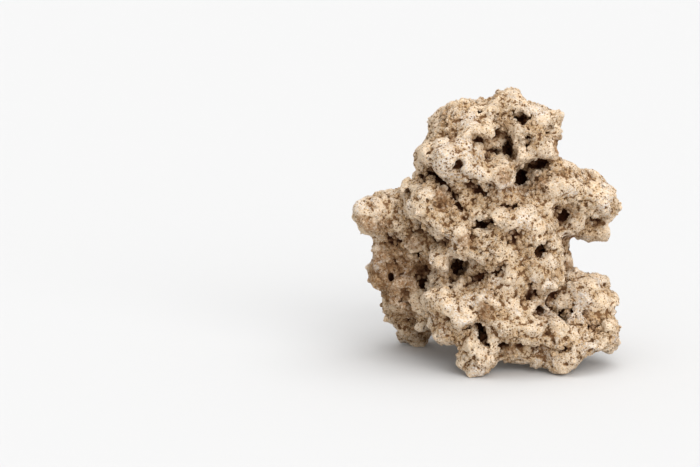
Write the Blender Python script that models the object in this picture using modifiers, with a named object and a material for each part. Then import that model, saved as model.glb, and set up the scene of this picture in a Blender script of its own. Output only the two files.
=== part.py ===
"""A dry reef rock: one porous piece of old coral limestone, standing on its worn lower knobs.

Metres, +Z up, the front towards -Y. The origin is on the surface that the rock stands on,
under the middle of its bounding box. The rock is the union of rounded lumps, roughened,
with its holes and crevices cut out, and its feet worn flat where they touch the surface.
"""

import math
from collections import namedtuple

import bmesh
import bpy
from mathutils import Euler, Matrix, Vector

MM = 0.001

# Driving dimensions of the surface. A level is the share of a pattern that stays where the skin was
FUSE_VOXEL = 2.3 * MM
KNOB_SPACING = 23 * MM
KNOB_HEIGHT = 10 * MM
CRUMB_SPACING = 11 * MM
CRUMB_HEIGHT = 8 * MM
KNOB_LEVEL = 0.17
CREASE_SPACING = 14 * MM
CREASE_HEIGHT = 7 * MM
CREASE_LEVEL = 0.3
CREASE_FOLDS = 2
SPHERE_FINENESS = 3
FACES_WANTED = 9400
FLOOR_DEPTH = 40 * MM
FLOOR_SIDE = 500 * MM

LIMESTONE_COLOUR = (0.66, 0.54, 0.40, 1.0)
LIMESTONE_ROUGHNESS = 0.95

# A rounded lump or hollow: its middle, its half-sizes and its tilt about Y, in millimetres and degrees
Lump = namedtuple("Lump", "middle radii tilt", defaults=(0,))


def core():
    """The mass in the middle, which every lobe grows from."""
    return [
        Lump((9, 2, 106), (52, 52, 52)),
        Lump((25, 6, 50), (60, 52, 30)),
        Lump((7, 36, 93), (56, 38, 58)),
        Lump((-46, 26, 44), (24, 28, 26)),
        Lump((20, -22, 112), (42, 36, 42)),
        Lump((2, -36, 50), (46, 38, 25)),
        Lump((-45, 5, 128), (16, 24, 24)),
        Lump((-38, -14, 150), (14, 14, 16)),
        Lump((-36, 6, 68), (20, 22, 24)),
        Lump((-40, -17, 70), (14, 17, 18)),
        Lump((-29, -31, 76), (14, 15, 12)),
        Lump((0, -5, 183), (17, 18, 17)),
        Lump((-52, -6, 98), (18, 19, 16)),
    ]


def crown():
    """The head of the rock, on a thick neck, with a smooth nose that overhangs at the left."""
    return [
        Lump((2, 4, 156), (44, 38, 24)),
        Lump((34, -5, 195), (25, 32, 27)),
        Lump((43, -14, 182), (19, 26, 19)),
        Lump((51, -4, 202), (14, 20, 14)),
        Lump((17, 0, 216), (19, 21, 18)),
        Lump((34, -2, 211), (15, 18, 13)),
        Lump((-2, -4, 206), (20, 24, 16)),
        Lump((-22, 0, 198), (27, 33, 26)),
        Lump((-34, 6, 205), (16, 20, 14)),
        Lump((-47, -6, 174), (16, 22, 18)),
        Lump((-57, -12, 158), (14, 20, 5), -25),
        Lump((-32, -32, 177), (31, 28, 21), 12),
        Lump((-12, -30, 197), (20, 18, 13)),
        Lump((-14, -6, 212), (14, 18, 12)),
        Lump((4, -8, 214), (12, 18, 12)),
        Lump((12, 30, 180), (42, 30, 34)),
        Lump((4, -36, 164), (22, 20, 13)),
        Lump((-30, -29, 147), (20, 16, 15)),
        Lump((18, -30, 176), (10, 20, 14)),
    ]


def left_arm():
    """A round stub that sticks out at the left, and the boulder in front of its root."""
    return [
        Lump((-97, -5, 129), (19, 21, 19)),
        Lump((-93, -2, 117), (17, 18, 14)),
        Lump((-77, 4, 126), (28, 25, 20)),
        Lump((-86, 12, 111), (20, 19, 12)),
        Lump((-57, -28, 144), (21, 25, 18), -10),
        Lump((-56, 8, 151), (17, 21, 9), -20),
        Lump((-62, 14, 100), (22, 26, 24)),
    ]


def rear_leg():
    """The dark lobe behind the left side, down to the left foot."""
    return [
        Lump((-88, 10, 92), (13, 17, 12)),
        Lump((-88, 20, 72), (16, 24, 20)),
        Lump((-70, 22, 58), (25, 32, 30)),
        Lump((-74, 30, 36), (16, 21, 14)),
        Lump((-62, 40, 15), (19, 22, 20)),
        Lump((-59, -10, 54), (7, 9, 12)),
        Lump((-54, -13, 38), (12, 14, 14)),
    ]


def face():
    """The boulders of the front, from the shoulder down to the big hollow."""
    return [
        Lump((13, -34, 131), (40, 28, 20)),
        Lump((36, -38, 95), (28, 29, 26)),
        Lump((46, -40, 78), (16, 24, 13)),
        Lump((2, -42, 106), (24, 26, 18)),
        Lump((-34, -34, 124), (24, 26, 15), 15),
        Lump((-28, -50, 105), (11, 13, 10)),
        Lump((-40, -36, 91), (14, 18, 13)),
        Lump((36, -50, 112), (16, 18, 12), -20),
        Lump((15, -50, 80), (22, 18, 15)),
    ]


def ledge():
    """The thick ledge low on the front, and the three feet under it."""
    return [
        Lump((-34, -48, 58), (26, 27, 17), 20),
        Lump((-34, -44, 38), (20, 20, 16)),
        Lump((-20, -60, 48), (20, 18, 13)),
        Lump((2, -48, 62), (27, 27, 16)),
        Lump((24, -56, 40), (32, 24, 14), 12),
        Lump((45, -57, 50), (18, 20, 13), 20),
        Lump((22, -40, 20), (27, 22, 15)),
        Lump((-10, -62, 17), (19, 19, 21)),
        Lump((63, -56, 24), (18, 19, 20)),
        Lump((64, -57, 8), (15, 15, 14)),
        Lump((41, -46, 12), (11, 13, 11)),
    ]


def right_lobe():
    """The broad lobe at the lower right, under the notch."""
    return [
        Lump((79, -14, 58), (29, 32, 21), 18),
        Lump((87, -24, 36), (27, 32, 18), 12),
        Lump((101, -26, 20), (14, 18, 12)),
        Lump((84, -40, 25), (17, 22, 13)),
        Lump((72, 6, 78), (6, 9, 9)),
        Lump((95, -10, 66), (12, 18, 10), 30),
        Lump((104, -14, 52), (9, 16, 10), 60),
    ]


def right_arm():
    """The wedge that sticks out at the right, over the notch."""
    return [
        Lump((58, -12, 152), (27, 30, 23), 12),
        Lump((82, -8, 143), (25, 27, 21), 18),
        Lump((100, -2, 133), (15, 19, 18), 25),
        Lump((90, 2, 110), (17, 20, 12), 10),
        Lump((74, 3, 117), (20, 26, 16), 5),
        Lump((64, 14, 95), (8, 22, 24)),
    ]


def back():
    """The side away from the front: its boulders and ledges and the rear right foot."""
    return [
        Lump((36, 50, 72), (32, 32, 26)),
        Lump((-30, 54, 64), (32, 26, 26)),
        Lump((-38, 44, 114), (30, 28, 26), -15),
        Lump((32, 52, 124), (30, 26, 24), 10),
        Lump((-4, 66, 94), (24, 20, 18), -20),
        Lump((-12, 42, 150), (28, 26, 26)),
        Lump((60, 36, 44), (26, 26, 22)),
        Lump((46, 50, 13), (20, 20, 21)),
        Lump((4, 60, 40), (30, 22, 15), 15),
        Lump((58, 44, 100), (18, 22, 14), -25),
        Lump((-56, 40, 140), (16, 18, 13), 20),
        Lump((8, 58, 132), (18, 18, 11), 30),
        Lump((-22, 68, 44), (15, 14, 11)),
        Lump((30, 68, 60), (16, 14, 9), -20),
        Lump((36, 34, 158), (18, 20, 12), 15),
        Lump((-26, 28, 186), (18, 16, 13)),
        Lump((22, 28, 204), (17, 14, 11), -20),
    ]


def crown_hollows():
    """The holes in the head, and the crevices under its nose and under its right block."""
    return [
        Lump((-7, -22, 215), (5, 14, 4)),
        Lump((4, -25, 207), (4, 16, 5)),
        Lump((26, -24, 210), (7, 23, 6)),
        Lump((49, -26, 200), (4, 12, 5)),
        Lump((-10, -40, 195), (8, 17, 5), 20),
        Lump((5, -40, 187), (6, 21, 4)),
        Lump((17, -30, 183), (6, 33, 9), -15),
        Lump((28, -32, 161), (9, 35, 11)),
        Lump((40, -30, 172), (14, 27, 5), -8),
        Lump((-27, -56, 178), (6, 19, 4)),
        Lump((-41, -44, 159), (20, 23, 4), 45),
        Lump((-54, -38, 166), (13, 23, 3), -25),
    ]


def front_hollows():
    """The holes in the face, the big hollow beside it and the crevices of the ledge."""
    return [
        Lump((-68, -44, 151), (6, 17, 6)),
        Lump((-104, -20, 141), (4, 15, 4)),
        Lump((1, -52, 157), (5, 19, 5)),
        Lump((-4, -58, 126), (8, 23, 6)),
        Lump((19, -58, 141), (6, 19, 4)),
        Lump((41, -58, 105), (6, 29, 7), 30),
        Lump((8, -64, 87), (5, 25, 6), 20),
        Lump((-25, -46, 88), (10, 34, 10), 25),
        Lump((-32, -52, 75), (7, 31, 5)),
        Lump((-56, -34, 84), (6, 31, 24), -15),
        Lump((-82, -12, 70), (5, 21, 6)),
        Lump((-71, -16, 52), (6, 21, 4), 10),
        Lump((-7, -76, 38), (5, 35, 13), -10),
        Lump((-17, -78, 43), (9, 25, 4)),
        Lump((44, -64, 54), (9, 25, 6)),
        Lump((56, -50, 61), (10, 23, 9)),
        Lump((88, -52, 39), (9, 19, 7), 25),
    ]


def back_hollows():
    """The holes and crevices of the side away from the front."""
    return [
        Lump((20, 78, 84), (14, 29, 6), 25),
        Lump((-32, 74, 90), (10, 27, 9), 20),
        Lump((12, 64, 148), (9, 25, 7), -15),
        Lump((56, 66, 84), (7, 23, 9)),
        Lump((-14, 78, 60), (12, 23, 5), 20),
        Lump((-8, 42, 194), (7, 23, 6), -20),
        Lump((36, 42, 178), (5, 25, 7)),
        Lump((-62, 56, 66), (5, 27, 12), 15),
        Lump((24, 76, 48), (10, 25, 5), -25),
        Lump((84, 30, 60), (7, 21, 9)),
        Lump((-92, 22, 120), (12, 13, 4)),
        Lump((68, 34, 122), (7, 23, 6), 30),
        Lump((-40, 60, 128), (6, 25, 5)),
        Lump((-6, 74, 112), (6, 21, 5)),
        Lump((-2, 56, 170), (4, 23, 5)),
    ]


def clear_scene():
    for thing in list(bpy.data.objects):
        bpy.data.objects.remove(thing)


def collection(name):
    group = bpy.data.collections.new(name)
    bpy.context.scene.collection.children.link(group)
    return group


def lump_mesh(name, lumps):
    """One mesh that holds every lump as a stretched and turned sphere."""
    shape = bmesh.new()
    for lump in lumps:
        place = Matrix.Translation(Vector(lump.middle) * MM)
        turn = Euler((0, math.radians(lump.tilt), 0)).to_matrix().to_4x4()
        stretch = Matrix.Diagonal((*(Vector(lump.radii) * MM), 1))
        size = place @ turn @ stretch
        bmesh.ops.create_icosphere(shape, subdivisions=SPHERE_FINENESS, radius=1, matrix=size)
    mesh = bpy.data.meshes.new(name)
    shape.to_mesh(mesh)
    shape.free()
    return mesh


def add_remesh(thing, voxel):
    """Fuses what overlaps into one closed skin."""
    fuse = thing.modifiers.new("fuse", "REMESH")
    fuse.mode = "VOXEL"
    fuse.voxel_size = voxel
    fuse.use_smooth_shade = True


def add_knobs(thing, name, spacing, height):
    """Rounded knobs with sharp valleys between them, from the distance to scattered points."""
    cells = bpy.data.textures.new(name, "VORONOI")
    cells.noise_scale = spacing
    cells.distance_metric = "DISTANCE_SQUARED"
    cells.noise_intensity = 1.0
    push = thing.modifiers.new(name, "DISPLACE")
    push.texture = cells
    push.texture_coords = "LOCAL"
    push.strength = -height
    push.mid_level = KNOB_LEVEL


def add_creases(thing, name, spacing, height):
    """Smooth swells with sharp creases between them, from folded noise."""
    folds = bpy.data.textures.new(name, "CLOUDS")
    folds.noise_scale = spacing
    folds.noise_type = "HARD_NOISE"
    folds.noise_depth = CREASE_FOLDS
    push = thing.modifiers.new(name, "DISPLACE")
    push.texture = folds
    push.texture_coords = "LOCAL"
    push.strength = height
    push.mid_level = CREASE_LEVEL


def add_cut(thing, name, cutter):
    cut = thing.modifiers.new(name, "BOOLEAN")
    cut.operation = "DIFFERENCE"
    cut.object = cutter


def face_count(thing):
    graph = bpy.context.evaluated_depsgraph_get()
    mesh = thing.evaluated_get(graph).to_mesh()
    mesh.calc_loop_triangles()
    return len(mesh.loop_triangles)


def connected_groups(shape):
    """The groups of faces of a bmesh that hang together."""
    groups = []
    seen = set()
    for first in shape.faces:
        if first in seen:
            continue
        seen.add(first)
        group = [first]
        for face in group:
            for edge in face.edges:
                for other in edge.link_faces:
                    if other not in seen:
                        seen.add(other)
                        group.append(other)
        groups.append(group)
    return groups


def keep_largest_piece(thing):
    """Bakes the modifiers into the mesh and drops the crumbs that a hollow cut loose."""
    graph = bpy.context.evaluated_depsgraph_get()
    mesh = bpy.data.meshes.new_from_object(thing.evaluated_get(graph))
    thing.modifiers.clear()
    thing.data = mesh
    shape = bmesh.new()
    shape.from_mesh(mesh)
    groups = sorted(connected_groups(shape), key=len)
    for group in groups[:-1]:
        bmesh.ops.delete(shape, geom=group, context="FACES")
    shape.to_mesh(mesh)
    shape.free()


def stand_in_the_middle(thing):
    """Moves a thing until the middle of its box is over the origin."""
    box = thing.evaluated_get(bpy.context.evaluated_depsgraph_get()).bound_box
    for axis in (0, 1):
        reach = [corner[axis] for corner in box]
        thing.location[axis] = -(min(reach) + max(reach)) / 2


def add_decimate(thing, wanted):
    thin = thing.modifiers.new("coarsen", "DECIMATE")
    thin.ratio = wanted / face_count(thing)
    thin.use_collapse_triangulate = True


def limestone():
    material = bpy.data.materials.new("limestone")
    material.use_nodes = True
    shader = material.node_tree.nodes["Principled BSDF"]
    shader.inputs["Base Color"].default_value = LIMESTONE_COLOUR
    shader.inputs["Roughness"].default_value = LIMESTONE_ROUGHNESS
    shader.inputs["Metallic"].default_value = 0.0
    return material


def hollow_cutter(cutters):
    hollows = crown_hollows() + front_hollows() + back_hollows()
    cutter = bpy.data.objects.new("hollow_cutter", lump_mesh("hollows", hollows))
    cutters.objects.link(cutter)
    cutter.hide_render = True
    cutter.display_type = "WIRE"
    add_remesh(cutter, FUSE_VOXEL)
    return cutter


def floor_cutter(cutters):
    """A slab whose top is the surface that the rock stands on."""
    slab = bmesh.new()
    size = Matrix.Diagonal((FLOOR_SIDE, FLOOR_SIDE, FLOOR_DEPTH, 1))
    bmesh.ops.create_cube(slab, size=1, matrix=Matrix.Translation((0, 0, -FLOOR_DEPTH / 2)) @ size)
    mesh = bpy.data.meshes.new("floor_slab")
    slab.to_mesh(mesh)
    slab.free()
    cutter = bpy.data.objects.new("floor_cutter", mesh)
    cutters.objects.link(cutter)
    cutter.hide_render = True
    cutter.display_type = "WIRE"
    return cutter


def reef_rock(rocks, cutters):
    lumps = core() + crown() + left_arm() + rear_leg() + face()
    lumps += ledge() + right_lobe() + right_arm() + back()
    rock = bpy.data.objects.new("reef_rock", lump_mesh("reef_rock", lumps))
    rocks.objects.link(rock)
    rock.data.materials.append(limestone())
    add_remesh(rock, FUSE_VOXEL)
    add_knobs(rock, "knobs", KNOB_SPACING, KNOB_HEIGHT)
    add_knobs(rock, "crumbs", CRUMB_SPACING, CRUMB_HEIGHT)
    add_creases(rock, "creases", CREASE_SPACING, CREASE_HEIGHT)
    add_remesh(rock, FUSE_VOXEL)
    add_cut(rock, "hollows", hollow_cutter(cutters))
    add_remesh(rock, FUSE_VOXEL)
    keep_largest_piece(rock)
    add_decimate(rock, FACES_WANTED)
    add_cut(rock, "worn_feet", floor_cutter(cutters))
    stand_in_the_middle(rock)
    return rock


def main():
    clear_scene()
    rocks = collection("dry_reef_rock")
    cutters = collection("cutters")
    reef_rock(rocks, cutters)


main()
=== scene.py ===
"""The looks of a dry reef rock: porous old coral limestone, cream and tan, with chalky white crusts.

The skin starts as a distance field of the CAD rock. Holes, pits, knobs and a granular texture are
cut into and laid on that field, and one closed mesh is drawn from it. Loose-looking grains sit half
sunk in its crumbly parts. Lengths in the field are in millimetres, and the meshes are in metres.
"""

import itertools
import math
from collections import namedtuple

import bpy
import numpy as np
import openvdb
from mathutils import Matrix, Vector
from mathutils.bvhtree import BVHTree


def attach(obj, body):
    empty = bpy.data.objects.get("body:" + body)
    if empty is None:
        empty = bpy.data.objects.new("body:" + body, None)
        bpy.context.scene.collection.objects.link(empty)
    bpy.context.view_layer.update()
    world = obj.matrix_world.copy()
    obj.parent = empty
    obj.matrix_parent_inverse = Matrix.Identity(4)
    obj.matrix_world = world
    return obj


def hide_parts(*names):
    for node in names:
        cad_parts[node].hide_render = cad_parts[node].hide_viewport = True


MM = 0.001
NODE = "reef_rock"
BODY = "root"

# The photograph's camera, in the rock's frame
PHOTO_WIDTH = 700
PHOTO_HEIGHT = 467
PHOTO_PIXEL = 0.85 * MM
CAMERA_ELEVATION = math.radians(12)
CAMERA_DISTANCE = 2.0
CAMERA_TARGET = Vector((-0.1151, -0.0032, 0.1078))
SENSOR_WIDTH = 36.0
CLIP_END = 100

# The distance field, in millimetres where it isn't in voxels
VOXEL = 0.75
BAND_VOXELS = 9
MARGIN_VOXELS = 4
SKIN_VOXELS = 4
ROUNDING = 1.9
FOOT_EDGE = 2.0
BLUR_REACH = 2.5
TABLE_SIDE = 64
SEED_JITTER = 0.4

# What keeps each piece under 200,000 triangles
SKIN_FACES = 194000
CRUMB_COUNT = 2420
GRAIN_COUNT = 9700

# Holes and patches that have a place in the photograph
HOLE_LUMPS = 0.5
HOLE_LUMP_SPACING = 4.5
HOLE_MARGIN = 2
PATCH_RAGGED = 0.35
PATCH_RAGGED_SPACING = 5
PATCH_RAGGED_SEED = 33
PATCH_EDGE = 0.4

# Swells that say where the rock is chalky, stained or crumbly: share, spacing and random seed
CRUST_SWELLS = [(1, 26, 31), (0.5, 26 / 2.3, 32)]
CRUST_LEVEL = 0.55
CRUST_RISE = 0.25
STAIN_SWELLS = [(1, 38, 35), (0.4, 38 / 3, 36)]
STAIN_LEVEL = 0.45
STAIN_RISE = 0.3
STAIN_BLEND = 20
CRUMBLE_SWELLS = [(1, 17, 41), (0.5, 7, 42)]
CRUMBLE_LEAST = 0.05
CRUMBLE_IN_SWELLS = 0.6
CRUMBLE_IN_GAPS = 0.75
CRUMBLE_IN_VALLEYS = 0.4
CRUMBLE_IN_STAINS = 0.3
VALLEY_SPAN = 0.12

# Ragged balls laid on the skin and cut into it: how many, and smallest and largest radius
KNOBS = [(350, 2.4, 4.4), (3000, 1.2, 2.4)]
KNOB_SEED = 51
KNOB_SUNK = (0.35, 0.75)
PITS = [(240, 2.4, 4.2), (1300, 1.3, 2.2), (5000, 0.9, 1.4)]
PIT_SEED = 61
PIT_LIFTED = (-0.5, 0.35)
PIT_CROWDS = [(1, 12, 62)]
PIT_CHANCE = (-1.1, 0.5)
PITS_OFF_CRUST = 0.6
WOBBLE_BAND = 6.0
WOBBLE_HEIGHT = 1.0
WOBBLE_SPACING = 2.1
WOBBLE_SEED = 45
STAMP_BATCH = 4_000_000

# Worn blocks with lower, crumbly gaps between them; a warp is length, spacing and random seeds
SURFACE_BAND = 4.5
BLOCK_WARPS = [(3.0, 14, (91, 92, 93)), (1.5, 5, (94, 95, 96))]
BLOCK_SPACING = 16
BLOCK_SEED = 71
BLOCK_EDGE = 0.36
BLOCK_SLOPE = 0.22
GAP_DEPTH = 1.6
GAP_LEVEL = 0.45
GAP_IN_CRUST = 0.4
CRUST_SMOOTHNESS = 0.6
CRUMB_WARPS = [(1.4, 6.5, (75, 76, 77))]
# Height in millimetres, level, spacing, share that is everywhere on the rock, and random seed
CRUMBS = [(2.9, 0.22, 7.0, 0.4, 72), (3.0, 0.25, 3.6, 0.25, 73)]
# The same without the level
LUMPS = [(1.3, 5.5, 0.5, 74), (0.7, 1.9, 0.45, 78)]

# How much rock is close by or around, for the painted shade in pits and valleys
NEAR_HOLLOW = 1.9
NEAR_SPAN = 0.28
FAR_HOLLOW = 7.0
FAR_SPAN = 0.3
COARSE = 3

# Crumbs and grains that sit half sunk in the skin: how often each triangle of the ball that they
# start from is split, how many there are, and their smallest and largest radius in millimetres
LOOSE_FORMS = 32
LOOSE_CORNERS = (0.72, 1.2)
LOOSE_STRETCH = 0.3
LOOSE_REACH = 1.6
LOOSE_LIFTED = (-0.5, 0.3)
LOOSE_LEAST = 0.06
Loose = namedtuple("Loose", "name splits count small large seed")
LOOSE = [
    Loose("crumbs_1", 1, CRUMB_COUNT, 1.0, 2.8, 81),
    Loose("crumbs_2", 1, CRUMB_COUNT, 1.0, 2.8, 82),
    Loose("crumbs_3", 1, CRUMB_COUNT, 1.0, 2.8, 83),
    Loose("grains_1", 0, GRAIN_COUNT, 0.5, 1.4, 84),
]

# Colours of the stone, and browns that paint shade
CREAM = (0.83, 0.65, 0.45, 1)
GREY_CREAM = (0.79, 0.64, 0.48, 1)
# Ochre of the crumbly parts, also the first painted shade in the pits
OCHRE = (0.73, 0.48, 0.245, 1)
# Earth brown of grains and stains, also painted shade in valleys
EARTH_AND_SHADE_BROWN = (0.34, 0.18, 0.08, 1)
# Tan of some crumbs, also painted shade deep in the pits
TAN_AND_SHADE_BROWN = (0.21, 0.10, 0.042, 1)
PALE = (0.80, 0.71, 0.60, 1)
CHALK = (0.845, 0.82, 0.795, 1)
# Painted shade, multiplied in where much rock is around
PAINTED_SHADE_BROWN = (0.20, 0.10, 0.05, 1)
RIM_BROWN = (0.50, 0.27, 0.11, 1)
# Painted shade inside pores too small for the mesh
PORE_PAINTED_SHADE = (0.17, 0.08, 0.028, 1)
STONE_ROUGHNESS = 0.95
STONE_SPECULAR = 0.2

# Noise in the colours: size in millimetres, detail and roughness
Noise = namedtuple("Noise", "size detail roughness")
CLOUDS = Noise(22, 4, 0.6)
GAP_CLOUDS = Noise(5, 5, 0.7)
PALE_CLOUDS = Noise(3.4, 4, 0.75)
CHALK_FLECKS = Noise(2.6, 4, 0.8)
GRAIN = Noise(1.1, 3, 0.7)
STIPPLE = Noise(1.4, 3, 0.75)
PIT_SHADE_CLOUDS = Noise(2.0, 3, 0.75)
STAIN_AND_SHADE_CLOUDS = Noise(3.5, 4, 0.75)
PORE_CROWDS = Noise(8, 4, 0.7)
PORE_EDGES = Noise(0.9, 2, 0.6)
SHADE_CLOUDS = Noise(3, 4, 0.7)
FINE_RELIEF = Noise(1.4, 3, 0.7)
COARSE_RELIEF = Noise(2.6, 4, 0.7)

# Spans of a value: where it starts and ends to matter, and how much it does at either end
Span = namedtuple("Span", "low high start end", defaults=(0.0, 1.0))
GREY_SPAN = Span(0.40, 0.62)
GAP_OCHRE = Span(0.66, 1.0, 0.0, 0.9)
PALE_SPOTS = Span(0.52, 0.66, 0.0, 0.7)
PALE_ON_TOPS = Span(0.2, 1.0, 1.0, 0.5)
CHALK_SPOTS = Span(0.44, 0.58, 0.0, 0.85)
PALE_EDGES = Span(0.42, 0.05, 0.0, 0.2)
PALE_LOOSE = Span(0.65, 1.0, 0.0, 0.6)
OCHRE_LOOSE = Span(0.45, 0.1, 0.0, 0.6)
TAN_LOOSE = Span(0.2, 0.0, 0.0, 0.7)
OCHRE_GRAIN = Span(0.52, 0.38, 0.0, 0.8)
EARTH_GRAIN = Span(0.48, 0.38, 0.0, 0.85)
PALE_GRAIN = Span(0.52, 0.64, 0.0, 0.6)
EARTH_IN_GAPS = Span(0.5, 0.95, 0.38, 1.0)
OCHRE_PIT_SHADE = Span(0.94, 1.12, 0.0, 0.45)
TAN_PIT_SHADE = Span(1.08, 1.30, 0.0, 0.95)
STAIN_AND_SHADE_SPOTS = Span(0.36, 0.62, 0.2, 0.95)
PORE_SIZES = Span(0.36, 0.64, 0.10, 0.52)
PORE_DARK = Span(-0.04, 0.06)
PORE_RIMS = Span(-0.24, 0.0, 0.0, 0.65)
VALLEY_PAINTED_SHADE = Span(0.45, 0.85, 0.0, 0.6)
DEEP_PAINTED_SHADE = Span(0.66, 1.08)
RELIEF_IN_GAPS = Span(0.5, 0.9, 0.6, 1.1)

# Shares by which the values are added up
GAP_CRUMBLE = 0.5
GAP_CLOUDINESS = 1.1
PIT_SHADE_CLOUDINESS = 0.9
PIT_SHADE_CRUMBLE = 0.12
PORE_SPACING = 1.9
PORE_SHADE_STRENGTH = 0.85
SHADE_CLOUDINESS = 0.5
FINE_SHARE = 0.9
PORE_DEPTH = 0.6
RELIEF_HEIGHT = 2.5

# The studio
FLOOR_SIDE = 60.0
FLOOR_COLOUR = (0.62, 0.62, 0.62, 1)
FLOOR_ROUGHNESS = 0.9
FLOOR_SPECULAR = 0.1
AMBIENT = 0.65
Lamp = namedtuple("Lamp", "name direction strength angle")
SUNS = [
    Lamp("overhead_softbox", Vector((0.15, -0.05, 1.0)), 1.87, math.radians(65)),
    Lamp("front_fill", Vector((0.5, -1.0, 0.5)), 2.2, math.radians(60)),
]

Hole = namedtuple("Hole", "u v wide high deep", defaults=(8,))
Patch = namedtuple("Patch", "u v radius")

# Dark holes and crevices of the photographed side: pixel, width and height in pixels, and depth in
# millimetres
HOLES = [
    Hole(478, 113, 9, 5, 9),
    Hole(517, 118, 9, 8, 10),
    Hole(491, 125, 4, 8, 7),
    Hole(554, 124, 4, 7, 6),
    Hole(478, 139, 11, 7, 7),
    Hole(494, 151, 14, 6, 9),
    Hole(508, 154, 9, 14, 14),
    Hole(520, 180, 15, 19, 16),
    Hole(534, 165, 16, 6, 10),
    Hole(552, 160, 9, 5, 8),
    Hole(455, 167, 9, 4, 8),
    Hole(436, 174, 12, 6, 10),
    Hole(445, 183, 7, 6, 9),
    Hole(455, 196, 7, 9, 9),
    Hole(458, 205, 6, 6, 7),
    Hole(418, 177, 17, 4, 8),
    Hole(489, 184, 4, 4, 6),
    Hole(408, 194, 9, 10, 9),
    Hole(364, 201, 4, 3, 6),
    Hole(482, 225, 15, 10, 11),
    Hole(509, 206, 9, 4, 7),
    Hole(541, 250, 10, 11, 10),
    Hole(496, 272, 6, 8, 8),
    Hole(458, 268, 18, 17, 16),
    Hole(450, 287, 7, 6, 9),
    Hole(420, 254, 6, 24, 10),
    Hole(425, 284, 6, 20, 10),
    Hole(407, 304, 10, 4, 7),
    Hole(391, 278, 5, 8, 8),
    Hole(401, 275, 3, 3, 6),
    Hole(405, 250, 4, 3, 14),
    Hole(468, 328, 10, 4, 8),
    Hole(480, 331, 8, 15, 9),
    Hole(488, 345, 6, 6, 9),
    Hole(539, 310, 10, 6, 8),
    Hole(551, 305, 14, 12, 5),
    Hole(568, 312, 24, 3, 5),
    Hole(590, 325, 9, 9, 6),
    Hole(566, 349, 14, 5, 7),
    Hole(527, 146, 5, 16, 6),
    Hole(565, 262, 4, 10, 8),
]

# Smooth, chalky patches of the photographed side, some of them painted light where that side is lit
# brighter: pixel and radius in pixels
CRUST_AND_LIGHT_PATCHES = [
    Patch(469, 119, 11),
    Patch(440, 150, 7),
    Patch(479, 155, 6),
    Patch(456, 158, 26),
    Patch(472, 172, 14),
    Patch(408, 204, 7),
    Patch(362, 202, 14),
    Patch(538, 108, 9),
    Patch(513, 94, 7),
    Patch(570, 193, 7),
    Patch(609, 205, 13),
    Patch(451, 310, 6),
    Patch(465, 325, 9),
    Patch(471, 300, 9),
    Patch(429, 260, 7),
    Patch(478, 371, 8),
    Patch(549, 286, 7),
    Patch(533, 280, 4),
    Patch(517, 312, 4),
    Patch(558, 337, 5),
    Patch(600, 281, 9),
    Patch(617, 338, 8),
    Patch(488, 294, 7),
    Patch(452, 243, 9),
    Patch(528, 222, 11),
    Patch(495, 279, 7),
    Patch(590, 345, 12),
    Patch(545, 355, 10),
    Patch(452, 350, 8),
]

# Parts of the photographed side that are brown with earth, and painted shade under the left arm, under
# the nose and on the shaded left lobe
STAIN_AND_SHADE_PATCHES = [
    Patch(392, 276, 34),
    Patch(366, 226, 12),
    Patch(384, 226, 10),
    Patch(349, 208, 7),
    Patch(412, 243, 10),
    Patch(466, 241, 7),
    Patch(506, 176, 9),
    Patch(486, 312, 9),
    Patch(567, 268, 7),
    Patch(507, 345, 8),
    Patch(396, 246, 12),
    Patch(424, 262, 14),
    Patch(408, 312, 15),
    Patch(440, 199, 10),
    Patch(556, 145, 8),
    Patch(528, 166, 9),
    Patch(540, 182, 9),
    Patch(482, 325, 10),
    Patch(559, 215, 9),
    Patch(455, 270, 12),
]

# A grid of values, where its first corner is and how wide a voxel is, in millimetres
Field = namedtuple("Field", "values corner step")

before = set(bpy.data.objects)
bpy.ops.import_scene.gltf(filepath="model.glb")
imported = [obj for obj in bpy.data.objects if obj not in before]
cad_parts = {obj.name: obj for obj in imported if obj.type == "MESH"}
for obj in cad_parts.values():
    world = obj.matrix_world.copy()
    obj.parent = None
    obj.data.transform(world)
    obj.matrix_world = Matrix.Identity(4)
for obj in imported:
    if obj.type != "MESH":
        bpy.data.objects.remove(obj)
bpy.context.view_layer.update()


def distance_field(node, step):
    """The signed distance from a node's skin, below zero inside, in millimetres."""
    mesh = node.data
    mesh.calc_loop_triangles()
    points = np.empty(len(mesh.vertices) * 3, np.float32)
    mesh.vertices.foreach_get("co", points)
    corners = np.empty(len(mesh.loop_triangles) * 3, np.int32)
    mesh.loop_triangles.foreach_get("vertices", corners)
    grid = openvdb.FloatGrid.createLevelSetFromPolygons(
        points.reshape(-1, 3) / np.float32(MM),
        triangles=corners.reshape(-1, 3).astype(np.uint32),
        transform=openvdb.createLinearTransform(step),
        halfWidth=BAND_VOXELS,
    )
    low, high = (np.array(corner) for corner in grid.evalActiveVoxelBoundingBox())
    low = low - MARGIN_VOXELS
    values = np.empty(high - low + MARGIN_VOXELS + 1, np.float32)
    grid.copyToArray(values, ijk=tuple(int(x) for x in low))
    return Field(values, (low * step).astype(np.float32), step)


def blurred(values, sigma):
    """Values smoothed by a Gaussian whose width is given in voxels."""
    reach = math.ceil(BLUR_REACH * sigma)
    weights = np.exp(-0.5 * (np.arange(-reach, reach + 1) / sigma) ** 2).astype(np.float32)
    weights /= weights.sum()
    for axis in range(3):
        count = values.shape[axis]
        edges = [(reach, reach) if axis == other else (0, 0) for other in range(3)]
        padded = np.moveaxis(np.pad(values, edges, mode="edge"), axis, 0)
        total = np.zeros_like(padded[:count])
        for shift, weight in enumerate(weights):
            total += weight * padded[shift:shift + count]
        values = np.ascontiguousarray(np.moveaxis(total, 0, axis))
    return values


def height_above_floor(field):
    """The height of each layer of voxels."""
    return (field.corner[2] + field.step * np.arange(field.values.shape[2])).astype(np.float32)


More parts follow.
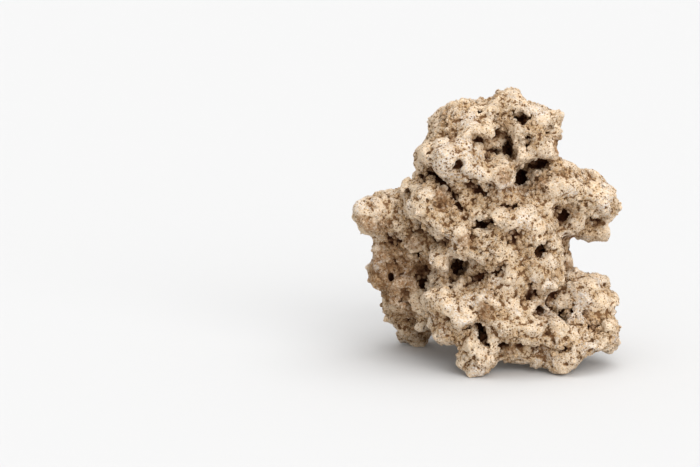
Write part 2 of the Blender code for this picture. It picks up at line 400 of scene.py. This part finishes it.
def rounded(field):
    """The field with the CAD solid's facets worn round, except on the flat feet."""
    soft = blurred(field.values, ROUNDING / field.step)
    share = np.clip((height_above_floor(field) - FOOT_EDGE) / FOOT_EDGE, 0, 1)
    return field._replace(values=field.values + share * (soft - field.values))


def lattice_noise(points, spacing, seed):
    """Smooth noise from -1 to 1 with swells about as wide as the spacing."""
    table = np.random.default_rng(seed).uniform(-1, 1, (TABLE_SIDE,) * 3).astype(np.float32)
    cell = points / np.float32(spacing)
    base = np.floor(cell).astype(np.int32)
    part = cell - base
    part = part * part * (3 - 2 * part)
    total = np.zeros(len(points), np.float32)
    for corner in np.ndindex(2, 2, 2):
        x, y, z = ((base[:, axis] + corner[axis]) % TABLE_SIDE for axis in range(3))
        weight = np.ones(len(points), np.float32)
        for axis in range(3):
            weight *= part[:, axis] if corner[axis] else 1 - part[:, axis]
        total += weight * table[x, y, z]
    return total


def swell(points, layers):
    """Noise summed from layers of share, spacing and random seed."""
    total = np.zeros(len(points), np.float32)
    for share, spacing, seed in layers:
        total += share * lattice_noise(points, spacing, seed)
    return total


def nearest_seed(points, spacing, seed):
    """How far the nearest of some scattered seeds is, in units of their spacing."""
    random = np.random.default_rng(seed)
    table = random.uniform(-SEED_JITTER, SEED_JITTER, (TABLE_SIDE,) * 3 + (3,)).astype(np.float32)
    cell = points / np.float32(spacing)
    base = np.floor(cell - 0.5).astype(np.int32)
    nearest = np.full(len(points), np.inf, np.float32)
    for corner in np.ndindex(2, 2, 2):
        at = base + np.array(corner, np.int32)
        x, y, z = (at[:, axis] % TABLE_SIDE for axis in range(3))
        gap = at + np.float32(0.5) + table[x, y, z] - cell
        np.minimum(nearest, np.einsum("ij,ij->i", gap, gap), out=nearest)
    return np.sqrt(nearest)


def warped(points, warps):
    """Points shifted by smooth noise, so that what is made from them has no straight edges."""
    moved = points.copy()
    for length, spacing, seeds in warps:
        moved += length * np.stack([lattice_noise(points, spacing, seed) for seed in seeds], axis=1)
    return moved


def band(field, reach):
    """The voxels within reach of the skin: their flat indices and their places."""
    index = np.flatnonzero(np.abs(field.values) < reach)
    at = np.stack(np.unravel_index(index, field.values.shape), axis=1).astype(np.float32)
    return index, field.corner + at * np.float32(field.step)


def outward(field, index):
    """Unit directions away from the rock at voxels given by flat indices."""
    at = np.unravel_index(index, field.values.shape)
    slope = []
    for axis in range(3):
        ahead = list(at)
        behind = list(at)
        ahead[axis] = at[axis] + 1
        behind[axis] = at[axis] - 1
        slope.append(field.values[tuple(ahead)] - field.values[tuple(behind)])
    slope = np.stack(slope, axis=1)
    return slope / np.maximum(np.linalg.norm(slope, axis=1, keepdims=True), 1e-6)


def sight(u, v):
    """The eye and the line of sight of the photograph's pixel (u, v)."""
    back = Vector((0, -math.cos(CAMERA_ELEVATION), math.sin(CAMERA_ELEVATION)))
    up = Vector((0, math.sin(CAMERA_ELEVATION), math.cos(CAMERA_ELEVATION)))
    eye = CAMERA_TARGET + back * CAMERA_DISTANCE
    aim = CAMERA_TARGET + Vector((1, 0, 0)) * ((u - PHOTO_WIDTH / 2) * PHOTO_PIXEL)
    aim += up * ((PHOTO_HEIGHT / 2 - v) * PHOTO_PIXEL)
    return eye, (aim - eye).normalized()


def seen_point(tree, u, v):
    """Where the pixel meets the rock, in millimetres, and the line of sight there, or nothing."""
    eye, line = sight(u, v)
    hit = tree.ray_cast(eye, line)[0]
    if hit is None:
        return None, None
    return np.array(hit, np.float32) / np.float32(MM), line


def placed(tree, patches):
    """Where the patches of the photographed side meet the rock, and their radii, in millimetres."""
    found = []
    for patch in patches:
        middle = seen_point(tree, patch.u, patch.v)[0]
        if middle is not None:
            found.append((middle, patch.radius * PHOTO_PIXEL / MM))
    return found


def carve_holes(field, tree):
    """Cuts the photographed holes in, each a lumpy ellipsoid along the line of sight."""
    for seed, hole in enumerate(HOLES):
        middle, line = seen_point(tree, hole.u, hole.v)
        if middle is None:
            continue
        side = line.cross(Vector((0, 0, 1))).normalized()
        axes = np.array([side, side.cross(line), line], np.float32)
        wide, tall = (size * PHOTO_PIXEL / MM / 2 for size in (hole.wide, hole.high))
        radii = np.array([wide, tall, hole.deep], np.float32)
        reach = radii.max() + HOLE_MARGIN
        low = np.maximum(((middle - reach - field.corner) / field.step).astype(int), 0)
        high = ((middle + reach - field.corner) / field.step).astype(int) + 1
        high = np.minimum(high, field.values.shape)
        window = tuple(slice(a, b) for a, b in zip(low, high))
        at = np.stack(np.meshgrid(*[np.arange(a, b) for a, b in zip(low, high)], indexing="ij"), axis=-1)
        points = (field.corner + at.reshape(-1, 3) * field.step).astype(np.float32)
        away = np.linalg.norm((points - middle) @ axes.T / radii, axis=1)
        away *= 1 + HOLE_LUMPS * lattice_noise(points, HOLE_LUMP_SPACING, seed)
        depth = ((1 - away) * radii.min()).reshape(at.shape[:3]).astype(np.float32)
        np.maximum(field.values[window], depth, out=field.values[window])


def wobble(field):
    """A grid of small lengths by which every stamped ball is ragged, in millimetres."""
    index, points = band(field, WOBBLE_BAND)
    ragged = np.zeros(field.values.size, np.float32)
    ragged[index] = WOBBLE_HEIGHT * lattice_noise(points, WOBBLE_SPACING, WOBBLE_SEED)
    return ragged


def stamp(field, ragged, middles, radii, cut):
    """Cuts ragged balls out of the rock, or adds them to it."""
    reach = math.ceil(radii.max() / field.step) + 1
    span = np.arange(-reach, reach + 1)
    cube = np.stack(np.meshgrid(span, span, span, indexing="ij"), axis=-1).reshape(-1, 3)
    cells = np.round((middles - field.corner) / field.step).astype(np.int64)
    limit = np.array(field.values.shape) - reach - 1
    fits = ((cells > reach) & (cells < limit)).all(axis=1)
    flat = field.values.reshape(-1)
    batches = max(1, len(cells) * len(cube) // STAMP_BATCH)
    for rows in np.array_split(np.flatnonzero(fits), batches):
        at = cells[rows, None] + cube
        away = np.linalg.norm(field.corner + at * field.step - middles[rows, None], axis=-1)
        gap = away - radii[rows, None]
        near = gap < field.step
        index = np.ravel_multi_index(tuple(np.moveaxis(at[near], -1, 0)), field.values.shape)
        gap = gap[near].astype(np.float32) + ragged[index]
        if cut:
            np.maximum.at(flat, index, -gap)
        else:
            np.minimum.at(flat, index, gap)


def patch_share(points, patches):
    """How far inside the nearest ragged patch each point is, from 0 to 1."""
    ragged = 1 + PATCH_RAGGED * lattice_noise(points, PATCH_RAGGED_SPACING, PATCH_RAGGED_SEED)
    share = np.zeros(len(points), np.float32)
    for middle, radius in patches:
        away = np.linalg.norm(points - middle, axis=1) * ragged
        share = np.maximum(share, np.clip((radius - away) / (PATCH_EDGE * radius) + 0.5, 0, 1))
    return share


class Surface:
    """Where the rock is chalky, stained or crumbly, each from 0 to 1 at any point. Some stains are
    painted shade, and some chalky patches are painted light.
    """

    def __init__(self, tree, field):
        self.crust_and_light_patches = placed(tree, CRUST_AND_LIGHT_PATCHES)
        self.stain_and_shade_patches = placed(tree, STAIN_AND_SHADE_PATCHES)
        self.around = rock_around(field)

    def crust(self, points):
        """Smooth and chalky; at some photographed patches the pale chalk is painted light."""
        share = np.clip((swell(points, CRUST_SWELLS) - CRUST_LEVEL) / CRUST_RISE, 0, 1)
        return np.maximum(share, patch_share(points, self.crust_and_light_patches))

    def stain_and_shade(self, points):
        """Brown with earth at the photographed places and in patches on the back; some photographed
        places are painted shade.
        """
        behind = np.clip(points[:, 1] / STAIN_BLEND, 0, 1)
        share = behind * np.clip((swell(points, STAIN_SWELLS) - STAIN_LEVEL) / STAIN_RISE, 0, 1)
        return np.maximum(share, patch_share(points, self.stain_and_shade_patches))

    def gaps(self, points):
        """Between the worn blocks that the rock is made of: 0 on their tops and 1 in the gaps."""
        away = nearest_seed(warped(points, BLOCK_WARPS), BLOCK_SPACING, BLOCK_SEED)
        return np.clip((away - BLOCK_EDGE) / BLOCK_SLOPE, 0, 1)

    def crumble(self, points, gaps=None):
        """Crumbly: most in the gaps and valleys, least on worn tops."""
        gaps = self.gaps(points) if gaps is None else gaps
        valley = (sampled(self.around, points) - 0.5) / VALLEY_SPAN
        share = CRUMBLE_LEAST + CRUMBLE_IN_SWELLS * swell(points, CRUMBLE_SWELLS)
        share += CRUMBLE_IN_GAPS * gaps
        share += CRUMBLE_IN_VALLEYS * valley
        share += CRUMBLE_IN_STAINS * self.stain_and_shade(points)
        return np.clip(share, 0, 1)


def scatter(field, random, count):
    """Random places on the skin and the directions away from the rock there."""
    index = np.flatnonzero(np.abs(field.values) < 0.5 * field.step)
    chosen = random.choice(index, count, replace=False)
    at = np.stack(np.unravel_index(chosen, field.values.shape), axis=1)
    places = (field.corner + at * field.step).astype(np.float32)
    places += random.uniform(-0.5, 0.5, places.shape).astype(np.float32) * field.step
    return places, outward(field, chosen)


def add_knobs(field, ragged, surface):
    """Lays ragged balls on the crumbly parts, more or less sunk."""
    random = np.random.default_rng(KNOB_SEED)
    for count, small, large in KNOBS:
        places, away = scatter(field, random, count)
        loose = surface.crumble(places) * (1 - surface.crust(places))
        keep = loose > random.uniform(0, 1, count)
        radii = random.uniform(small, large, count)
        sunk = random.uniform(*KNOB_SUNK, count)
        middles = places - away * (radii * sunk)[:, None]
        stamp(field, ragged, middles[keep], radii[keep], cut=False)


def add_pits(field, ragged, surface):
    """Cuts ragged balls out all over the rock, in crowds and fewest in its chalky parts."""
    random = np.random.default_rng(PIT_SEED)
    for count, small, large in PITS:
        places, away = scatter(field, random, count)
        crowd = swell(places, PIT_CROWDS) - PITS_OFF_CRUST * surface.crust(places)
        keep = crowd > random.uniform(*PIT_CHANCE, count)
        radii = small + (large - small) * random.uniform(0, 1, count) ** 2
        lifted = random.uniform(*PIT_LIFTED, count)
        middles = places + away * (radii * lifted)[:, None]
        stamp(field, ragged, middles[keep], radii[keep], cut=True)


def roughen(field, surface):
    """Raises and lowers the skin: worn blocks, and in the gaps between them lumps, crumbs and grit."""
    index, points = band(field, SURFACE_BAND)
    rough = 1 - CRUST_SMOOTHNESS * surface.crust(points)
    gaps = surface.gaps(points)
    crumble = rough * surface.crumble(points, gaps)
    height = -GAP_DEPTH * (gaps - GAP_LEVEL) * (GAP_IN_CRUST + (1 - GAP_IN_CRUST) * rough)
    moved = warped(points, CRUMB_WARPS)
    for high, level, spacing, least, seed in CRUMBS:
        bumps = level - nearest_seed(moved, spacing, seed) ** 2
        height += high * bumps * (least * rough + (1 - least) * crumble)
    for high, spacing, least, seed in LUMPS:
        height += high * lattice_noise(points, spacing, seed) * (least * rough + (1 - least) * crumble)
    field.values.reshape(-1)[index] -= height


def wear_feet(field):
    """Nothing reaches below the surface that the rock stands on."""
    np.maximum(field.values, -height_above_floor(field), out=field.values)


def skin_of(field):
    """The closed mesh where the field is zero, without crumbs that float free of the rock."""
    reach = SKIN_VOXELS * field.step
    grid = openvdb.FloatGrid(reach)
    grid.copyFromArray(np.clip(field.values, -reach, reach), tolerance=0.0)
    grid.transform = openvdb.createLinearTransform(field.step)
    grid.gridClass = openvdb.GridClass.LEVEL_SET
    points, triangles, quads = grid.convertToPolygons(isovalue=0.0, adaptivity=0.0)
    points = points + field.corner
    faces = np.concatenate([quads[:, [0, 1, 2]], quads[:, [0, 2, 3]]]).astype(np.int64)
    if len(triangles):
        faces = np.concatenate([faces, triangles.astype(np.int64)])
    faces = faces[:, ::-1]
    return largest_piece(points, faces)


def largest_piece(points, faces):
    """The part of a mesh that has the most triangles among those that hang together."""
    label = np.arange(len(points))
    while True:
        lowest = label[faces].min(axis=1)
        before = label.copy()
        for corner in range(3):
            np.minimum.at(label, faces[:, corner], lowest)
        label = label[label]
        if (label == before).all():
            break
    main = np.bincount(label[faces[:, 0]]).argmax()
    faces = faces[label[faces[:, 0]] == main]
    used = np.unique(faces)
    place = np.zeros(len(points), np.int64)
    place[used] = np.arange(len(used))
    return points[used], place[faces]


def mesh_of(name, points, faces):
    """A smooth-shaded mesh from millimetre points and triangles."""
    mesh = bpy.data.meshes.new(name)
    mesh.vertices.add(len(points))
    mesh.vertices.foreach_set("co", (points * MM).astype(np.float32).ravel())
    mesh.loops.add(faces.size)
    mesh.loops.foreach_set("vertex_index", faces.astype(np.int32).ravel())
    mesh.polygons.add(len(faces))
    mesh.polygons.foreach_set("loop_start", np.arange(0, faces.size, 3, dtype=np.int32))
    mesh.polygons.foreach_set("loop_total", np.full(len(faces), 3, np.int32))
    mesh.update(calc_edges=True)
    mesh.shade_smooth()
    return mesh


def thinned(mesh, wanted):
    """The mesh with about as many triangles as wanted, fewest where it is plainest."""
    thing = bpy.data.objects.new(mesh.name, mesh)
    bpy.context.scene.collection.objects.link(thing)
    thin = thing.modifiers.new("thin", "DECIMATE")
    thin.ratio = wanted / len(mesh.polygons)
    thin.use_collapse_triangulate = True
    graph = bpy.context.evaluated_depsgraph_get()
    made = bpy.data.meshes.new_from_object(thing.evaluated_get(graph))
    bpy.data.objects.remove(thing)
    return made


def points_of(mesh):
    """A mesh's vertices in millimetres."""
    points = np.empty(len(mesh.vertices) * 3, np.float32)
    mesh.vertices.foreach_get("co", points)
    return points.reshape(-1, 3) / np.float32(MM)


def sampled(field, points):
    """The values of a field at points between its voxels."""
    values = field.values
    cell = (points - field.corner) / np.float32(field.step)
    base = np.clip(np.floor(cell).astype(np.int32), 0, np.array(values.shape, np.int32) - 2)
    part = cell - base
    total = np.zeros(len(points), np.float32)
    for corner in np.ndindex(2, 2, 2):
        weight = np.ones(len(points), np.float32)
        for axis in range(3):
            weight = weight * (part[:, axis] if corner[axis] else 1 - part[:, axis])
        at = base + corner
        total += weight * values[at[:, 0], at[:, 1], at[:, 2]]
    return total


def solid_share(field):
    """How much of each voxel is rock."""
    return np.clip(0.5 - field.values / field.step, 0, 1).astype(np.float32)


def rock_close_by(field):
    """How much rock is within about two millimetres of each voxel: high in pits, low on crumbs."""
    return field._replace(values=blurred(solid_share(field), NEAR_HOLLOW / field.step))


def rock_around(field):
    """How much rock is within about seven millimetres of each voxel: high in valleys, low on tops."""
    coarse = np.ascontiguousarray(solid_share(field)[::COARSE, ::COARSE, ::COARSE])
    step = field.step * COARSE
    return Field(blurred(coarse, FAR_HOLLOW / step), field.corner, step)


def shade_maps(mesh, near, surface, tint=None):
    """Stores on the vertices what the material reads, each value from 0 to 1."""
    points = points_of(mesh)
    stored = {
        # hollow: how much rock is close by, for the painted shade in pits
        "hollow": np.clip((sampled(near, points) - 0.5) / NEAR_SPAN + 0.5, 0, 1),
        # deep: how far down in a valley, for the painted shade there
        "deep": np.clip((sampled(surface.around, points) - 0.5) / FAR_SPAN, 0, 1),
        "crumble": surface.crumble(points),
        "stain_and_shade": surface.stain_and_shade(points),
        "crust": surface.crust(points),
        "tint": np.full(len(points), 0.5, np.float32) if tint is None else tint,
    }
    for name, values in stored.items():
        layer = mesh.attributes.new(name, "FLOAT", "POINT")
        layer.data.foreach_set("value", values.astype(np.float32))


def icosahedron():
    """The corners and triangles of a ball of twenty triangles."""
    golden = (1 + math.sqrt(5)) / 2
    corners = [(s, t * golden, 0) for s in (-1, 1) for t in (-1, 1)]
    corners = np.array([tuple(np.roll(c, k)) for k in range(3) for c in corners], float)
    corners /= np.linalg.norm(corners[0])
    gaps = np.linalg.norm(corners[:, None] - corners[None], axis=-1)
    edge = np.sort(gaps[0])[1] * 1.01
    faces = []
    for a, b, c in itertools.combinations(range(12), 3):
        if max(gaps[a, b], gaps[b, c], gaps[a, c]) < edge:
            normal = np.cross(corners[b] - corners[a], corners[c] - corners[a])
            faces.append((a, b, c) if normal @ corners[a] > 0 else (a, c, b))
    return corners, np.array(faces)


def split_ball(corners, faces):
    """The ball with each triangle split in four."""
    corners = [tuple(c) for c in corners]
    middle = {}
    made = []

    def between(a, b):
        key = (min(a, b), max(a, b))
        if key not in middle:
            point = np.array(corners[a]) + corners[b]
            corners.append(tuple(point / np.linalg.norm(point)))
            middle[key] = len(corners) - 1
        return middle[key]

    for a, b, c in faces:
        ab, bc, ca = between(a, b), between(b, c), between(c, a)
        made += [(a, ab, ca), (ab, b, bc), (ca, bc, c), (ab, bc, ca)]
    return np.array(corners), np.array(made)


def loose_forms(random, splits):
    """Some angular crumbs, each a ball with its corners pushed in or out."""
    corners, faces = icosahedron()
    for _ in range(splits):
        corners, faces = split_ball(corners, faces)
    return corners * random.uniform(*LOOSE_CORNERS, (LOOSE_FORMS, len(corners), 1)), faces


def turned(random, count):
    """Random rotation matrices."""
    q = random.normal(size=(count, 4))
    q /= np.linalg.norm(q, axis=1, keepdims=True)
    w, x, y, z = q.T
    rows = [
        [1 - 2 * (y * y + z * z), 2 * (x * y - w * z), 2 * (x * z + w * y)],
        [2 * (x * y + w * z), 1 - 2 * (x * x + z * z), 2 * (y * z - w * x)],
        [2 * (x * z - w * y), 2 * (y * z + w * x), 1 - 2 * (x * x + y * y)],
    ]
    return np.moveaxis(np.array(rows), -1, 0)


def loose_places(skin, surface, random, kind):
    """Places on the skin, mostly where the rock is crumbly, and the directions out of it."""
    points = points_of(skin)
    faces = np.empty(len(skin.polygons) * 3, np.int32)
    skin.polygons.foreach_get("vertices", faces)
    a, b, c = (points[faces.reshape(-1, 3)[:, k]] for k in range(3))
    normal = np.cross(b - a, c - a)
    area = np.linalg.norm(normal, axis=1)
    middle = (a + b + c) / 3
    share = surface.crumble(middle) * (1 - surface.crust(middle)) + LOOSE_LEAST
    share *= middle[:, 2] > kind.large * LOOSE_REACH
    chance = area * share
    chosen = random.choice(len(middle), kind.count, p=chance / chance.sum())
    s = np.sqrt(random.uniform(0, 1, kind.count))[:, None]
    t = random.uniform(0, 1, kind.count)[:, None]
    places = (1 - s) * a[chosen] + s * (1 - t) * b[chosen] + s * t * c[chosen]
    return places, normal[chosen] / np.maximum(area[chosen], 1e-9)[:, None]


def loose_mesh(kind, skin, surface):
    """One mesh of many crumbs half sunk in the skin, and each vertex's tint, random by crumb."""
    random = np.random.default_rng(kind.seed)
    places, away = loose_places(skin, surface, random, kind)
    forms, faces = loose_forms(random, kind.splits)
    radii = kind.small + (kind.large - kind.small) * random.uniform(0, 1, kind.count) ** 2
    stretch = random.uniform(1 - LOOSE_STRETCH, 1 + LOOSE_STRETCH, (kind.count, 1, 3))
    shape = forms[random.integers(0, LOOSE_FORMS, kind.count)] * stretch * radii[:, None, None]
    shape = np.einsum("nij,nvj->nvi", turned(random, kind.count), shape)
    middles = places + away * (radii * random.uniform(*LOOSE_LIFTED, kind.count))[:, None]
    points = (shape + middles[:, None]).reshape(-1, 3)
    corners = forms.shape[1]
    starts = corners * np.arange(kind.count)
    mesh = mesh_of(kind.name, points, (faces[None] + starts[:, None, None]).reshape(-1, 3))
    mesh.shade_flat()
    return mesh, np.repeat(random.uniform(0, 1, kind.count), corners)


def piece(name, mesh, material):
    """One visible part of the rock."""
    thing = bpy.data.objects.new(name, mesh)
    bpy.context.scene.collection.objects.link(thing)
    mesh.materials.clear()
    mesh.materials.append(material)
    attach(thing, BODY)
    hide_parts(NODE)
    return thing


class Nodes:
    """Short calls that add nodes to a material and link them."""

    def __init__(self, name):
        self.material = bpy.data.materials.new(name)
        self.material.use_nodes = True
        self.tree = self.material.node_tree
        self.shader = self.tree.nodes["Principled BSDF"]

    def put(self, socket, value):
        if isinstance(value, bpy.types.NodeSocket):
            self.tree.links.new(value, socket)
        else:
            socket.default_value = value

    def add(self, kind, output=0, settings=None, **inputs):
        node = self.tree.nodes.new(kind)
        for key, value in (settings or {}).items():
            setattr(node, key, value)
        for key, value in inputs.items():
            self.put(node.inputs[key.replace("_", " ")], value)
        return node.outputs[output]

    def math(self, operation, a, b):
        node = self.tree.nodes.new("ShaderNodeMath")
        node.operation = operation
        self.put(node.inputs[0], a)
        self.put(node.inputs[1], b)
        return node.outputs[0]

    def plus(self, a, b, share):
        """The sum of a and a share of b."""
        return self.math("ADD", a, self.math("MULTIPLY", b, share))

    def mix(self, share, a, b, blend="MIX"):
        node = self.tree.nodes.new("ShaderNodeMix")
        node.data_type = "RGBA"
        node.blend_type = blend
        self.put(node.inputs[0], share)
        self.put(node.inputs[6], a)
        self.put(node.inputs[7], b)
        return node.outputs[2]

    def span(self, value, span):
        node = self.tree.nodes.new("ShaderNodeMapRange")
        node.interpolation_type = "SMOOTHSTEP"
        for socket, number in zip(node.inputs[1:5], span):
            socket.default_value = number
        self.put(node.inputs[0], value)
        return node.outputs[0]

    def stored(self, name):
        return self.add("ShaderNodeAttribute", 2, {"attribute_name": name})


class StoneNodes(Nodes):
    """Nodes with noise that is fixed to the stone."""

    def __init__(self, name):
        super().__init__(name)
        self.place = self.add("ShaderNodeTexCoord", 3)

    def noise(self, kind):
        return self.add(
            "ShaderNodeTexNoise", 0,
            Vector=self.place, Scale=1 / (kind.size * MM), Detail=kind.detail, Roughness=kind.roughness,
        )

    def cells(self, size):
        """How far the nearest of some scattered points is, and that point's random number."""
        distance = self.add("ShaderNodeTexVoronoi", 0, Vector=self.place, Scale=1 / (size * MM))
        colour = distance.node.outputs["Color"]
        return distance, self.add("ShaderNodeSeparateColor", 0, Color=colour)


def clean_colour(n, loose):
    """Cream stone, ochre where it is crumbly, with paler clouds and chalk, the chalk partly painted
    light; a crumb has its own tint.
    """
    crumble, hollow = n.stored("crumble"), n.stored("hollow")
    crust, tint = n.stored("crust"), n.stored("tint")
    colour = n.mix(n.span(n.noise(CLOUDS), GREY_SPAN), CREAM, GREY_CREAM)
    colour = n.mix(n.span(loose, GAP_OCHRE), colour, OCHRE)
    pale = n.math("MULTIPLY", n.span(n.noise(PALE_CLOUDS), PALE_SPOTS), n.span(crumble, PALE_ON_TOPS))
    colour = n.mix(pale, colour, PALE)
    # Chalk flecks, partly painted light at some photographed patches
    chalky = n.math("MULTIPLY", crust, n.span(n.noise(CHALK_FLECKS), CHALK_SPOTS))
    colour = n.mix(chalky, colour, CHALK)
    colour = n.mix(n.span(hollow, PALE_EDGES), colour, PALE)
    colour = n.mix(n.span(tint, PALE_LOOSE), colour, PALE)
    colour = n.mix(n.span(tint, OCHRE_LOOSE), colour, OCHRE)
    return n.mix(n.span(tint, TAN_LOOSE), colour, TAN_AND_SHADE_BROWN)


def with_grain(n, colour, loose):
    """Grains of ochre, earth and pale lime, a pixel or two wide in the photograph."""
    colour = n.mix(n.span(n.noise(GRAIN), OCHRE_GRAIN), colour, OCHRE)
    stipple = n.noise(STIPPLE)
    earthy = n.math("MULTIPLY", n.span(loose, EARTH_IN_GAPS), n.span(stipple, EARTH_GRAIN))
    colour = n.mix(earthy, colour, EARTH_AND_SHADE_BROWN)
    return n.mix(n.span(stipple, PALE_GRAIN), colour, PALE)


def with_pit_shade_and_stains(n, colour):
    """Painted shade in the pits and where crumbs sink into the skin, ochre and then tan, and earth brown
    on the stained parts, which at some of them is painted shade too.
    """
    sunk = n.plus(n.stored("hollow"), n.noise(PIT_SHADE_CLOUDS), PIT_SHADE_CLOUDINESS)
    sunk = n.plus(sunk, n.stored("crumble"), PIT_SHADE_CRUMBLE)
    # Painted shade in the pits, ochre and then tan
    colour = n.mix(n.span(sunk, OCHRE_PIT_SHADE), colour, OCHRE)
    colour = n.mix(n.span(sunk, TAN_PIT_SHADE), colour, TAN_AND_SHADE_BROWN)
    # Earth brown on the stains, and painted shade at some of them
    stained_and_shaded = n.math("MULTIPLY", n.stored("stain_and_shade"), n.span(n.noise(STAIN_AND_SHADE_CLOUDS), STAIN_AND_SHADE_SPOTS))
    return n.mix(stained_and_shaded, colour, EARTH_AND_SHADE_BROWN)


def pores(n):
    """How far inside a pore each point is: above zero in it, and just below zero on its rim."""
    distance, random = n.cells(PORE_SPACING)
    size = n.math("MULTIPLY", random, n.span(n.noise(PORE_CROWDS), PORE_SIZES))
    ragged = n.math("SUBTRACT", n.noise(PORE_EDGES), 0.5)
    return n.math("ADD", n.math("SUBTRACT", size, distance), ragged)


def with_painted_shade(n, colour):
    """Painted shade: browner and darker where much rock is around, in valleys and deep holes."""
    shade = n.plus(n.stored("deep"), n.noise(SHADE_CLOUDS), SHADE_CLOUDINESS)
    colour = n.mix(n.span(shade, VALLEY_PAINTED_SHADE), colour, EARTH_AND_SHADE_BROWN)
    return n.mix(n.span(shade, DEEP_PAINTED_SHADE), colour, PAINTED_SHADE_BROWN, "MULTIPLY")


def relief(n, loose, pore):
    """Grit too fine for the mesh, strongest where the rock is crumbly, and sunk pores."""
    grit = n.plus(n.noise(COARSE_RELIEF), n.noise(FINE_RELIEF), FINE_SHARE)
    height = n.math("MULTIPLY", grit, n.span(loose, RELIEF_IN_GAPS))
    height = n.math("SUBTRACT", height, n.math("MULTIPLY", pore, PORE_DEPTH))
    return n.add("ShaderNodeBump", 0, Strength=1.0, Distance=RELIEF_HEIGHT * MM, Height=height)


def limestone():
    """Dry and matt: cream tops, ochre and brown gaps, chalky crusts, and pores, pits and valleys
    darkened with painted shade.
    """
    n = StoneNodes("dry_limestone")
    loose = n.plus(
        n.math("MULTIPLY", n.stored("crumble"), GAP_CRUMBLE), n.noise(GAP_CLOUDS), GAP_CLOUDINESS
    )
    colour = with_pit_shade_and_stains(n, with_grain(n, clean_colour(n, loose), loose))
    inside = pores(n)
    pore = n.span(inside, PORE_DARK)
    colour = n.mix(n.span(inside, PORE_RIMS), colour, RIM_BROWN)
    # Painted shade inside the pores
    colour = n.mix(n.math("MULTIPLY", pore, PORE_SHADE_STRENGTH), colour, PORE_PAINTED_SHADE)
    n.put(n.shader.inputs["Base Color"], with_painted_shade(n, colour))
    n.put(n.shader.inputs["Normal"], relief(n, loose, pore))
    n.shader.inputs["Roughness"].default_value = STONE_ROUGHNESS
    n.shader.inputs["Specular IOR Level"].default_value = STONE_SPECULAR
    return n.material


def studio_floor():
    """A plain pale floor that runs far past the view."""
    mesh = bpy.data.meshes.new("studio_floor")
    side = FLOOR_SIDE / 2
    corners = [(-side, -side, 0), (side, -side, 0), (side, side, 0), (-side, side, 0)]
    mesh.from_pydata(corners, [], [(0, 1, 2, 3)])
    floor = bpy.data.objects.new("studio_floor", mesh)
    bpy.context.scene.collection.objects.link(floor)
    n = Nodes("pale_floor")
    n.shader.inputs["Base Color"].default_value = FLOOR_COLOUR
    n.shader.inputs["Roughness"].default_value = FLOOR_ROUGHNESS
    n.shader.inputs["Specular IOR Level"].default_value = FLOOR_SPECULAR
    mesh.materials.append(n.material)


def studio_light():
    """A white surround and two wide, soft lamps."""
    world = bpy.data.worlds.new("studio")
    bpy.context.scene.world = world
    world.use_nodes = True
    surround = world.node_tree.nodes["Background"]
    surround.inputs["Color"].default_value = (1, 1, 1, 1)
    surround.inputs["Strength"].default_value = AMBIENT
    for source in SUNS:
        lamp = bpy.data.lights.new(source.name, "SUN")
        lamp.energy = source.strength
        lamp.angle = source.angle
        sun = bpy.data.objects.new(source.name, lamp)
        sun.rotation_euler = source.direction.to_track_quat("Z", "Y").to_euler()
        bpy.context.scene.collection.objects.link(sun)
    bpy.context.scene.view_settings.view_transform = "Standard"


def photo_camera():
    """The camera of the photograph, at its viewing angle and scale."""
    lens = bpy.data.cameras.new("photo_camera")
    lens.sensor_width = SENSOR_WIDTH
    lens.lens = SENSOR_WIDTH * CAMERA_DISTANCE / (PHOTO_WIDTH * PHOTO_PIXEL)
    camera = bpy.data.objects.new("photo_camera", lens)
    eye, line = sight(PHOTO_WIDTH / 2, PHOTO_HEIGHT / 2)
    camera.location = eye
    camera.rotation_euler = line.to_track_quat("-Z", "Y").to_euler()
    lens.clip_end = CLIP_END
    bpy.context.scene.collection.objects.link(camera)
    bpy.context.scene.camera = camera


def build_rock(node):
    corners = [vertex.co.copy() for vertex in node.data.vertices]
    tree = BVHTree.FromPolygons(corners, [face.vertices[:] for face in node.data.polygons])
    field = rounded(distance_field(node, VOXEL))
    carve_holes(field, tree)
    surface = Surface(tree, field)
    ragged = wobble(field)
    add_knobs(field, ragged, surface)
    add_pits(field, ragged, surface)
    roughen(field, surface)
    wear_feet(field)
    skin = thinned(mesh_of("skin", *skin_of(field)), SKIN_FACES)
    near = rock_close_by(field)
    stone = limestone()
    shade_maps(skin, near, surface)
    piece("rock_skin", skin, stone)
    for kind in LOOSE:
        mesh, tint = loose_mesh(kind, skin, surface)
        shade_maps(mesh, near, surface, tint)
        piece(kind.name, mesh, stone)


photo_camera()
studio_light()
studio_floor()
build_rock(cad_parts[NODE])
